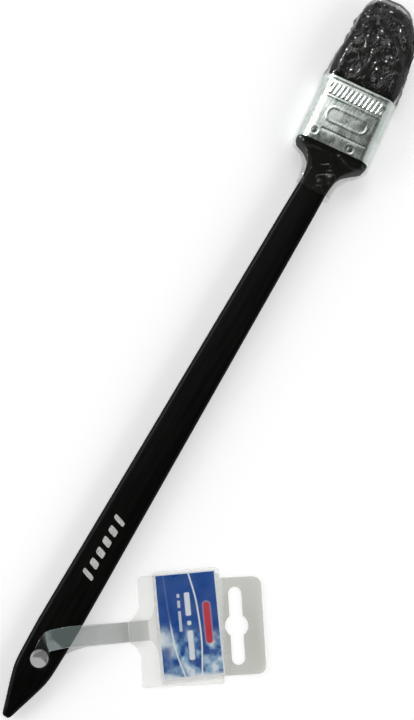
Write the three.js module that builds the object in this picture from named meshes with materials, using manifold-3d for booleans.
// Long-handled flat paint brush in its shop wrapping: a black lath handle with a
// pointed tail, a nailed tin ferrule, a domed bristle head under clear film, and a
// folded clear hang tag looped through the handle's tail hole.
// Millimetres, +Z up, +X from tail to head. The brush lies on its flat on z = 0.
import * as THREE from 'three';
import { mergeVertices } from 'three/addons/utils/BufferGeometryUtils.js';
import Module from 'manifold-3d';

// ---------- driving dimensions ----------
const HANDLE_T = 7.5;             // lath thickness
const LATH_W0 = 9.57;             // half width of the lath extrapolated to the tail tip
const LATH_TAPER = 0.0080;        // half width lost per mm towards the head
const HOLE_X = 28.3;              // hang hole centre from the tail tip
const HOLE_R = 4.0;
const HOLE_Z = 4.5;               // height of the lath's mid-plane at the hang hole
const HEAD_RISE = 0.01167;        // slope of the brush, resting on ferrule and tail
const HEAD_ANGLE = 5.2;           // degrees, head turned against the handle, in plan
const MOUTH_X = 338.78;           // ferrule mouth centre
const MOUTH_Y = 3.96;
const FERRULE_L = 35.2;
const FERRULE_HW = 18.8;          // half width, outside
const FERRULE_HT = 6.7;           // half thickness, outside
const FERRULE_R = 5.6;            // side rounding
const TIN = 0.4;
const BEAD = 0.45;
const FLUTE_PITCH = 2.4;
const FLUTE_COUNT = 14;           // per face
const FLUTE_H = 0.25;
const TENON_HW = 17.95;
const TENON_HT = 5.8;
const NAILS = [[-31.0, 12.3, 1], [-32.6, -7.2, 1], [-31.0, -12.0, -1], [-32.6, 7.0, -1]];
const NAIL_R = 0.7;
const NAIL_HEAD_R = 1.4;
const NAIL_HOLE_R = 1.05;
const NAIL_L = 5.0;
const FLEX_U = 1.5;               // flex axis, beyond the mouth
const TUFT_R = 5.85;              // half thickness of the tuft at the flex axis
const FILM_T = 0.3;
const SHEET_T = 0.35;             // hang tag sheet
const TAG_ANGLE = -55;            // degrees, tag direction from the hang hole
const STRAP_HW = 4.5;             // half width of the tag's strap
const STRAP_T0 = 7.9;             // sideways offset of the tag's centre line
const THROAT_HW = 3.15;           // half width of the strap bunched in the hole
const CREASE_S = 39.9;            // crease of the tag, from the hole centre
const FRONT = { s0: 52.8, s1: 83.4, t0: -16.5, t1: 33.4, r: 3.0 };
const BACK = { s0: 45.4, s1: 82.0, t0: -16.8, t1: 32.4, r: 1.5 };
const HEADER = { s1: 101.0, t0: -13.3, t1: 30.1, r: 4.4 };
const SLOT = { s: 88.8, t: 8.5, half: 17.3, hw: 2.95, r: 5.2 };
const BACK_TURN = -2.6;           // degrees, back panel against the strap
const LABEL = { s0: 53.6, s1: 81.3, t0: -14.6, t1: 31.9 };

const wasm = await Module();
wasm.setup();
const { Manifold, Mesh } = wasm;
const rad = (d) => (d * Math.PI) / 180;
const lerp = (a, b, k) => a + (b - a) * k;
const smooth = (k) => { k = Math.min(1, Math.max(0, k)); return k * k * (3 - 2 * k); };
const V = (x, y, z) => new THREE.Vector3(x, y, z);
function table(rows, x) {           // piecewise linear look-up, rows sorted by first column
  if (x <= rows[0][0]) return rows[0].slice(1);
  for (let i = 1; i < rows.length; i++) {
    if (x <= rows[i][0]) {
      const k = (x - rows[i - 1][0]) / (rows[i][0] - rows[i - 1][0]);
      return rows[i].slice(1).map((v, j) => lerp(rows[i - 1][j + 1], v, k));
    }
  }
  return rows[rows.length - 1].slice(1);
}

// ---------- mesh helpers ----------
function geom(points, tris) {
  const pos = new Float32Array(points.length * 3);
  points.forEach((p, i) => { pos[3 * i] = p.x; pos[3 * i + 1] = p.y; pos[3 * i + 2] = p.z; });
  let vol = 0;
  for (const [a, b, c] of tris) vol += points[a].dot(new THREE.Vector3().crossVectors(points[b], points[c]));
  const flat = [];
  for (const [a, b, c] of tris) vol < 0 ? flat.push(a, c, b) : flat.push(a, b, c);
  const g = new THREE.BufferGeometry();
  g.setAttribute('position', new THREE.BufferAttribute(pos, 3));
  g.setIndex(flat);
  return g;
}
function toManifold(g0) {
  let g = g0.clone();
  for (const k of Object.keys(g.attributes)) if (k !== 'position') g.deleteAttribute(k);
  g = mergeVertices(g, 1e-4);
  return new Manifold(new Mesh({ numProp: 3, vertProperties: new Float32Array(g.attributes.position.array), triVerts: new Uint32Array(g.index.array) }));
}
function fromManifold(m) {
  const mesh = m.getMesh();
  const n = mesh.numProp, pos = new Float32Array((mesh.vertProperties.length / n) * 3);
  for (let i = 0; i < pos.length / 3; i++) for (let j = 0; j < 3; j++) pos[3 * i + j] = mesh.vertProperties[n * i + j];
  const g = new THREE.BufferGeometry();
  g.setAttribute('position', new THREE.BufferAttribute(pos, 3));
  g.setIndex(Array.from(mesh.triVerts));
  return g;
}
// rings of equal length joined in order; the ends are closed by a fan on the ring's middle
function loft(rings) {
  const pts = rings.flat(), n = rings[0].length, tris = [];
  for (let r = 0; r + 1 < rings.length; r++) for (let i = 0; i < n; i++) {
    const a = r * n + i, b = r * n + (i + 1) % n, c = a + n, d = b + n;
    tris.push([a, b, d], [a, d, c]);
  }
  for (const r of [0, rings.length - 1]) {
    const mid = new THREE.Vector3();
    rings[r].forEach((p) => mid.add(p));
    pts.push(mid.multiplyScalar(1 / n));
    const m = pts.length - 1;
    for (let i = 0; i < n; i++) {
      const a = r * n + i, b = r * n + (i + 1) % n;
      tris.push(r === 0 ? [m, b, a] : [m, a, b]);
    }
  }
  return geom(pts, tris);
}
// rings joined in order and the last one back to the first: a closed sleeve
function sleeve(rings) {
  const pts = rings.flat(), n = rings[0].length, m = rings.length, tris = [];
  for (let r = 0; r < m; r++) for (let i = 0; i < n; i++) {
    const a = r * n + i, b = r * n + (i + 1) % n, c = ((r + 1) % m) * n + i, d = ((r + 1) % m) * n + (i + 1) % n;
    tris.push([a, b, d], [a, d, c]);
  }
  return geom(pts, tris);
}
// rounded rectangle as [across, up, normal across, normal up]
function roundedRect(hw, ht, r, seg = 5) {
  r = Math.min(r, hw - 0.02, ht - 0.02);
  const out = [];
  for (const [cx, cy, a0] of [[hw - r, ht - r, 0], [-hw + r, ht - r, 90], [-hw + r, -ht + r, 180], [hw - r, -ht + r, 270]]) {
    for (let i = 0; i <= seg; i++) {
      const a = rad(a0 + (90 * i) / seg), c = Math.cos(a), s = Math.sin(a);
      out.push([cx + r * c, cy + r * s, c, s]);
    }
  }
  return out;
}
function ringAt(cx, cy, deg, section, along = 0, lift = 0) {
  const e = V(Math.cos(rad(deg)), Math.sin(rad(deg)), 0), l = V(-e.y, e.x, 0);
  return section.map(([a, z]) => V(cx + e.x * along + l.x * a, cy + e.y * along + l.y * a, z + lift));
}
const headRing = (u, v, section) => ringAt(MOUTH_X, MOUTH_Y, HEAD_ANGLE, section.map(([a, z]) => [a + v, z]), u);
const headPoint = (u, v, z) => headRing(u, 0, [[v, z]])[0];
function cylinder(r, h, seg = 24) {
  const g = new THREE.CylinderGeometry(r, r, h, seg);
  g.rotateX(Math.PI / 2);
  return g;
}

// ---------- handle ----------
const handleRows = [               // x, y, turn, half width, half thickness
  [0.0, 0, 0, 1.1, 1.5], [0.6, 0, 0, 1.8, 1.95], [2.2, 0, 0, 2.45, 2.3], [5, 0, 0, 3.35, 2.65], [8, 0, 0, 4.3, 2.95],
  [11, 0, 0, 5.3, 3.2], [14, 0, 0, 6.25, 3.4], [17, 0, 0, 7.15, 3.55], [20, 0, 0, 7.95, 3.65], [23, 0, 0, 8.45, 3.72],
  [27, 0, 0, 8.75, HANDLE_T / 2], [34, 0, 0, 8.98, HANDLE_T / 2], [44, 0, 0, 9.2, HANDLE_T / 2],
];
for (let x = 60; x <= 270; x += 30) handleRows.push([x, 0, 0, LATH_W0 - LATH_TAPER * x, HANDLE_T / 2]);
handleRows.push([280, 0, 0, 7.2, 3.75], [283, 0, 0, 7.12, 3.75], [287.4, 0, 0, 7.35, 3.82], [291.3, 0, 0.3, 7.95, 4],
  [294.3, 0, 0.8, 9, 4.3], [296.5, 0.03, 1.5, 10.8, 4.7], [298.5, 0.06, 2.3, 13, 5.1], [300.2, 0.25, 3.2, 15.6, 5.5], [301.32, 0.42, 4.2, 17.3, 5.85]);
const handleRings = handleRows.map(([x, y, a, hw, ht]) => ringAt(x, y, a, roundedRect(hw, ht, 2.1, 4)));
for (const [u, hw, ht] of [[-36.6, 18.25, 6.2], [-35.6, 18.35, 6.25], [-35.55, TENON_HW, TENON_HT], [-17.0, TENON_HW - 0.1, TENON_HT - 0.1]]) {
  handleRings.push(headRing(u, 0, roundedRect(hw, ht, 2.1 + 2.9 * smooth((hw - 13) / 4), 4)));
}
let handle = toManifold(loft(handleRings));
{
  const c = cylinder(HOLE_R, 40, 32);
  c.translate(HOLE_X, 0, 0);
  handle = handle.subtract(toManifold(c));
  for (const [u, v, side] of NAILS) {
    const d = cylinder(NAIL_HOLE_R, 8, 16), p = headPoint(u, v, side * (FERRULE_HT - NAIL_L - 0.5 + 4));
    d.translate(p.x, p.y, p.z);
    handle = handle.subtract(toManifold(d));
  }
}

// ---------- ferrule ----------
const tinPath = roundedRect(FERRULE_HW, FERRULE_HT, FERRULE_R, 8);
const tinProfile = [               // along from the mouth, offset from the outer face
  [-FERRULE_L, -TIN], [-FERRULE_L, 0], [-4.0, 0], [-1.9, 0], [-1.5, BEAD * 0.7], [-0.95, BEAD], [-0.4, BEAD * 0.7], [0, 0.05], [0, -TIN],
];
let ferrule = toManifold(sleeve(tinProfile.map(([u, off]) => headRing(u, 0, tinPath.map(([a, z, na, nz]) => [a + na * off, z + nz * off])))));
for (const side of [1, -1]) {
  for (let i = 0; i < FLUTE_COUNT; i++) {
    const v = (i - (FLUTE_COUNT - 1) / 2) * FLUTE_PITCH * 0.94;
    const half = FLUTE_PITCH * 0.28;
    const sec = [[-half, -0.2], [half, -0.2], [half, 0.02], [half * 0.5, FLUTE_H], [-half * 0.5, FLUTE_H], [-half, 0.02]];
    const rings = [[-10.2, 0.3], [-9.6, 1], [-4.2, 1], [-3.6, 0.3]].map(([u, k]) =>
      headRing(u, v, sec.map(([a, h]) => [a, side * (FERRULE_HT + (h > 0.1 ? 0.03 + (h - 0.03) * k : h))])));
    ferrule = ferrule.add(toManifold(loft(rings)));
  }
  const groove = [[-13.5, 0], [9.5, 0]].map(([v]) => {
    const ps = [[-28.65, 0.5], [-27.95, 0.5], [-27.95, -0.16], [-28.65, -0.16]];
    return ps.map(([u, h]) => headPoint(u, v, side * (FERRULE_HT + h)));
  });
  ferrule = ferrule.subtract(toManifold(loft(groove)));
}
for (const [u, v, side] of NAILS) {
  const c = cylinder(NAIL_HOLE_R, 2, 16), p = headPoint(u, v, side * FERRULE_HT);
  c.translate(p.x, p.y, p.z);
  ferrule = ferrule.subtract(toManifold(c));
}

// ---------- ferrule nails ----------
function nailGeometry() {
  const pts = [[0, -NAIL_L], [NAIL_R * 0.35, -NAIL_L + 0.25], [NAIL_R, -NAIL_L + 1.3], [NAIL_R, 0.05], [NAIL_HEAD_R, 0.06],
    [NAIL_HEAD_R * 0.97, 0.18], [NAIL_HEAD_R * 0.75, 0.33], [NAIL_HEAD_R * 0.4, 0.42], [0, 0.45]].map(([x, y]) => new THREE.Vector2(x, y));
  const g = new THREE.LatheGeometry(pts, 16);
  g.rotateX(Math.PI / 2);
  return g;
}

// ---------- inside the ferrule ----------
const block = (u0, u1, hw, ht, r) => loft([headRing(u0, 0, roundedRect(hw, ht, r, 4)), headRing(u1, 0, roundedRect(hw, ht, r, 4))]);
const setting = block(-16.6, -10.4, 17.9, 5.8, 5.0);
const plug = block(-10.1, -4.95, 15.6, 1.3, 0.5);
function rootBank(side) {
  const sec = [];
  for (const [a, z] of roundedRect(17.7, 5.75, 4.9, 5)) if (z > 1.8) sec.push([a, z * side]);
  sec.push([-17.4, 1.62 * side], [17.4, 1.62 * side]);
  return loft([headRing(-10.1, 0, sec), headRing(-4.95, 0, sec)]);
}

// ---------- free bristle tuft, one bank on each side of the plug ----------
const tipRows = [[-17.3, 11.7], [-17.0, 17.7], [-16.2, 24.7], [-15.2, 30.2], [-14, 34.2], [-12.4, 38.2], [-10.5, 41.7], [-8, 44.9], [-5, 47.1],
  [-1, 48.4], [4, 48.8], [8, 48.5], [10.5, 46.9], [12.3, 44.2], [13.6, 40.2], [14.3, 35.2], [14.8, 29.7], [15.2, 24.2], [15.7, 20.7], [16.5, 15.7], [17.2, 11.7]];
const thickRows = [[1.5, 1], [6, 1.02], [15.7, 1.0], [23.7, 0.95], [31.7, 0.84], [38.7, 0.68], [43.7, 0.52], [47.7, 0.34], [49.7, 0.25]];
function tuftBank(side) {
  const rings = [];
  for (let i = 0; i <= 26; i++) {
    const v = lerp(-17.25, 17.15, 0.5 - 0.5 * Math.cos((Math.PI * i) / 26));
    const over = Math.max(0, Math.abs(v) - 12.9) / 4.7;
    const r = Math.max(1.0, TUFT_R * Math.sqrt(Math.max(0, 1 - over * over)));
    const tip = table(tipRows, v)[0];
    const ring = [];
    const a0 = Math.asin(0.15 / r);
    for (let j = 0; j <= 6; j++) {
      const a = Math.PI - lerp(a0, Math.PI / 2, j / 6);
      ring.push([FLEX_U + r * Math.cos(a), r * Math.sin(a)]);
    }
    const room = tip - FLEX_U;
    for (let j = 1; j <= 9; j++) {
      const u = FLEX_U + room * (j / 9) * 0.985;
      const end = Math.sqrt(Math.max(0.02, 1 - Math.pow(j / 9, 6)));
      ring.push([u, Math.max(0.3, r * table(thickRows, u)[0] * end)]);
    }
    ring.push([tip, 0.15]);
    rings.push(ring.map(([u, z]) => headPoint(u, v, side * z)));
  }
  return loft(rings);
}

// ---------- clear film wrap ----------
const filmNeck = [                 // x, y, turn, half width, half thickness
  [280.3, -0.8, 0, 8.75, 4.75], [284.3, -0.55, 0, 9.1, 4.9], [288.3, -0.25, 0, 9.8, 5.2], [293.1, 0.02, 0.6, 11.2, 5.7], [296.7, 0.2, 1.6, 13.6, 6.1], [299.3, 0.48, 3, 16.9, 6.9],
];
const filmHead = [                 // along, centre shift, half width, half thickness
  [-37.6, 0, 19.45, 7.5], [-35.0, 0, 19.75, 7.65], [-20, 0, 19.75, 7.65], [0.6, 0, 19.75, 7.65], [4, 0, 18.9, 7.35], [7.7, 0, 18.7, 7.25], [11.7, 0, 18.3, 7.1], [15.7, -0.1, 18.05, 7.0], [19.7, -0.3, 17.7, 6.9],
  [23.7, -0.4, 17.3, 6.75], [28.7, -0.2, 16.8, 6.45], [33.7, 0.2, 16.0, 5.95], [37.7, 0.55, 15.1, 5.4], [41.7, 1.1, 13.9, 4.75], [45.7, 1.75, 12.3, 3.95], [48.7, 2.35, 10.4, 3.2], [50.9, 3.0, 8.0, 2.3], [52.2, 3.6, 4.6, 1.2],
];
function filmRings(inset) {
  const rings = filmNeck.map(([x, y, a, hw, ht]) => ringAt(x, y, a, roundedRect(hw - inset, ht - inset, 3.2 - inset * 0.4, 5)));
  for (const [u, c, hw, ht] of filmHead) {
    const back = u > 43.7 ? inset : 0;
    rings.push(headRing(u - back, c, roundedRect(hw - inset, ht - inset, Math.min(ht - 0.2, 6.0) - inset * 0.4, 5)));
  }
  return rings;
}
function filmGeometry() {
  const outer = filmRings(0), inner = filmRings(FILM_T), n = outer[0].length;
  const pts = [...outer.flat(), ...inner.flat()], tris = [], m = outer.length;
  for (let r = 0; r + 1 < m; r++) for (let i = 0; i < n; i++) {
    const a = r * n + i, b = r * n + (i + 1) % n, c = a + n, d = b + n, k = m * n;
    tris.push([a, b, d], [a, d, c], [k + a, k + d, k + b], [k + a, k + c, k + d]);
  }
  for (let i = 0; i < n; i++) {
    const a = i, b = (i + 1) % n, k = m * n;
    tris.push([a, k + a, k + b], [a, k + b, b]);
  }
  pts.push(headPoint(52.45, 3.8, 0), headPoint(52.45 - FILM_T, 3.8, 0));
  const po = pts.length - 2, pi = pts.length - 1;
  for (let i = 0; i < n; i++) {
    const a = (m - 1) * n + i, b = (m - 1) * n + (i + 1) % n, k = m * n;
    tris.push([a, b, po], [k + a, pi, k + b]);
  }
  return geom(pts, tris);
}

// ---------- hang tag, in its own plan frame: s away from the hole, t across, z up ----------
const tagE = V(Math.cos(rad(TAG_ANGLE)), Math.sin(rad(TAG_ANGLE)), 0), tagL = V(-tagE.y, tagE.x, 0);
const tagPoint = (s, t, z) => V(HOLE_X + tagE.x * s + tagL.x * t, tagE.y * s + tagL.y * t, z);
const upperZ = (s) => lerp(9.4, 0.88, smooth((s - 23.5) / 15.2));
const LOWER_Z = 0.225;
function strapGeometry() {
  // each section: centre, unit direction across the strap, half width, direction of travel
  const sec = [];
  const across = (deg) => V(Math.cos(rad(deg)), Math.sin(rad(deg)), 0);
  for (const s of [39.6, 37.5, 35.5, 33.5, 31.5, 29.5, 27.5, 25.5, 23.5, 19, 14, 9, 6.5]) sec.push([tagPoint(s, STRAP_T0 - (s < 14 ? (14 - s) * 0.1 : 0), upperZ(s)), across(35), STRAP_HW]);
  // over the kink and down into the hole
  sec.push([V(HOLE_X + 7.7, 0.55, 9.5), across(41), 4.45]);
  sec.push([V(HOLE_X + 6.2, 0.6, 9.65), across(52), 4.1]);
  sec.push([V(HOLE_X + 4.4, 0.5, 9.6), across(68), 3.6]);
  sec.push([V(HOLE_X + 2.6, 0.35, 9.45), across(88), 3.3]);
  sec.push([V(HOLE_X + 1.3, 0.2, 8.9), across(106), THROAT_HW]);
  sec.push([V(HOLE_X + 0.7, 0.1, 7.9), across(117), THROAT_HW]);
  sec.push([V(HOLE_X + 0.5, 0.05, 6.0), across(119), THROAT_HW]);
  sec.push([V(HOLE_X + 0.5, 0.0, 4.0), across(117), THROAT_HW]);
  sec.push([V(HOLE_X + 0.45, -0.1, 2.6), across(108), THROAT_HW]);
  sec.push([V(HOLE_X + 0.55, -0.35, 1.5), across(90), 3.1]);
  sec.push([V(HOLE_X + 0.9, -0.85, 0.65), across(66), 3.05]);
  sec.push([V(HOLE_X + 1.6, -1.5, LOWER_Z + 0.05), across(48), 3.1]);
  sec.push([tagPoint(4.0, 1.6, LOWER_Z), across(38), 3.5]);
  for (const [s, t, hw] of [[7.5, 3.4, 4.1], [12, 5.4, STRAP_HW], [17, 6.9, STRAP_HW], [23, 7.7, STRAP_HW], [39.6, STRAP_T0, STRAP_HW]]) sec.push([tagPoint(s, t, LOWER_Z), across(35), hw]);
  const rings = sec.map(([c, w, hw], i) => {
    const a = sec[Math.max(0, i - 1)][0], b = sec[Math.min(sec.length - 1, i + 1)][0];
    const travel = b.clone().sub(a).normalize();
    if (i === 0 || i === sec.length - 1) travel.copy(i === 0 ? tagE.clone().negate() : tagE);
    const n = new THREE.Vector3().crossVectors(travel, w).normalize().multiplyScalar(SHEET_T / 2);
    const side = w.clone().multiplyScalar(hw);
    return [c.clone().add(side).add(n), c.clone().add(side).sub(n), c.clone().sub(side).sub(n), c.clone().sub(side).add(n)];
  });
  return loft(rings);
}
function sheetShape(outline) {
  const s = new THREE.Shape();
  outline(s);
  return s;
}
function corner(shape, x, y, r, dx0, dy0, dx1, dy1) {   // rounded corner at x, y
  shape.lineTo(x + dx0 * r, y + dy0 * r);
  shape.quadraticCurveTo(x, y, x + dx1 * r, y + dy1 * r);
}
function extrudeSheet(shape, z0, z1, turn = 0) {
  const g = new THREE.ExtrudeGeometry(shape, { depth: z1 - z0, bevelEnabled: false, curveSegments: 6 });
  if (turn) { g.translate(-CREASE_S, -STRAP_T0, 0); g.rotateZ(rad(turn)); g.translate(CREASE_S, STRAP_T0, 0); }
  g.translate(0, 0, z0);
  const m = new THREE.Matrix4().makeBasis(tagE, tagL, V(0, 0, 1));
  m.setPosition(HOLE_X, 0, 0);
  g.applyMatrix4(m);
  return g;
}
const edgeS = CREASE_S + 0.3;
const frontShape = sheetShape((p) => {
  const f = FRONT, a = STRAP_T0 - STRAP_HW, b = STRAP_T0 + STRAP_HW;
  p.moveTo(edgeS, a); p.lineTo(48.9, a); p.quadraticCurveTo(51.6, a - 0.6, f.s0, a - 6.5);
  corner(p, f.s0, f.t0, 1.2, 0, 1, 1, 0); corner(p, f.s1, f.t0, f.r, -1, 0, 0, 1);
  corner(p, f.s1, f.t1, f.r, 0, -1, -1, 0); corner(p, f.s0, f.t1, 1.2, 1, 0, 0, -1);
  p.lineTo(f.s0, b + 6.5); p.quadraticCurveTo(51.6, b + 0.6, 48.9, b); p.lineTo(edgeS, b); p.closePath();
});
const backShape = sheetShape((p) => {
  const f = BACK, h = HEADER, a = STRAP_T0 - STRAP_HW, b = STRAP_T0 + STRAP_HW;
  p.moveTo(edgeS + 0.25, a); p.quadraticCurveTo(43.9, a - 2.2, f.s0, a - 6.2);
  corner(p, f.s0, f.t0, f.r, 0, 1, 1, 0); corner(p, f.s1, f.t0, f.r, -1, 0, 0, 1);
  p.lineTo(f.s1, h.t0); corner(p, h.s1, h.t0, h.r, -1, 0, 0, 1); corner(p, h.s1, h.t1, h.r, 0, -1, -1, 0);
  p.lineTo(f.s1, h.t1); corner(p, f.s1, f.t1, f.r, 0, -1, -1, 0); corner(p, f.s0, f.t1, f.r, 1, 0, 0, -1);
  p.lineTo(f.s0, b + 6.2); p.quadraticCurveTo(43.9, b + 2.2, edgeS + 0.25, b); p.closePath();
  const q = SLOT, hole = new THREE.Path(), g = Math.asin(q.hw / q.r);
  // euro slot: a long bar with a round middle
  hole.moveTo(q.s + q.hw, q.t + q.r * Math.cos(g));
  hole.lineTo(q.s + q.hw, q.t + q.half - q.hw);
  hole.absarc(q.s, q.t + q.half - q.hw, q.hw, 0, Math.PI, false);
  hole.lineTo(q.s - q.hw, q.t + q.r * Math.cos(g));
  hole.absarc(q.s, q.t, q.r, Math.PI / 2 + g, 1.5 * Math.PI - g, false);
  hole.lineTo(q.s - q.hw, q.t - q.half + q.hw);
  hole.absarc(q.s, q.t - q.half + q.hw, q.hw, Math.PI, 2 * Math.PI, false);
  hole.lineTo(q.s + q.hw, q.t - q.r * Math.cos(g));
  hole.absarc(q.s, q.t, q.r, 1.5 * Math.PI + g, 2.5 * Math.PI - g, false);
  p.holes.push(hole);
});
const labelShape = sheetShape((p) => {
  const f = LABEL;
  p.moveTo(f.s0, f.t0); p.lineTo(f.s1, f.t0); p.lineTo(f.s1, f.t1); p.lineTo(f.s0, f.t1); p.closePath();
});

// ---------- materials ----------
const mat = (color, roughness, metalness, opacity = 1) => new THREE.MeshStandardMaterial({ color, roughness, metalness, opacity, transparent: opacity < 1 });
const black = mat(0x0b0b0b, 0.38, 0), tin = mat(0xc9cfcb, 0.22, 1), steel = mat(0xb8bcb8, 0.3, 1), resin = mat(0xc9a45e, 0.4, 0);
const bristle = mat(0x161a17, 0.55, 0), wood = mat(0xb98d58, 0.7, 0), clear = mat(0xdfe3df, 0.12, 0, 0.35), print = mat(0x1f4fa8, 0.35, 0);

// ---------- assembly ----------
const part = new THREE.Group();
const pivot = V(HOLE_X, 0, HOLE_Z);
const brush = new THREE.Group();             // resting on ferrule and tail, so it slopes a little
brush.position.copy(pivot);
brush.rotation.y = -Math.atan(HEAD_RISE);
const brushInner = new THREE.Group();
brushInner.position.set(-pivot.x, -pivot.y, 0);
brush.add(brushInner);
const tag = new THREE.Group();
const node = (group, name, geometry, material) => {
  const m = new THREE.Mesh(geometry, material);
  m.name = name;
  group.add(m);
  return m;
};
node(brushInner, 'handle', fromManifold(handle), black);
node(brushInner, 'ferrule', fromManifold(ferrule), tin);
NAILS.forEach(([u, v, side], i) => {
  const m = node(brushInner, `ferrule_nail_${i + 1}`, nailGeometry(), steel);
  m.position.copy(headPoint(u, v, side * FERRULE_HT));
  if (side < 0) m.rotation.x = Math.PI;
});
node(brushInner, 'epoxy_setting', setting, resin);
node(brushInner, 'spacer_plug', plug, wood);
node(brushInner, 'bristle_root_front', rootBank(1), bristle);
node(brushInner, 'bristle_root_back', rootBank(-1), bristle);
node(brushInner, 'bristle_tuft_front', tuftBank(1), bristle);
node(brushInner, 'bristle_tuft_back', tuftBank(-1), bristle);
node(brushInner, 'film_wrap', filmGeometry(), clear);
node(tag, 'tag_strap', strapGeometry(), clear);
node(tag, 'tag_back_panel', extrudeSheet(backShape, 0.05, 0.40, BACK_TURN), clear);
node(tag, 'tag_front_panel', extrudeSheet(frontShape, 0.72, 1.04), clear);
node(tag, 'printed_label', extrudeSheet(labelShape, 1.20, 1.40), print);
part.add(brush, tag);

// the origin is the middle of the whole object's footprint, on the surface it lies on
const box = new THREE.Box3().setFromObject(part, true);
const mid = box.getCenter(new THREE.Vector3());
part.position.set(-mid.x, -mid.y, -box.min.z);
part.updateMatrixWorld(true);

export default part;
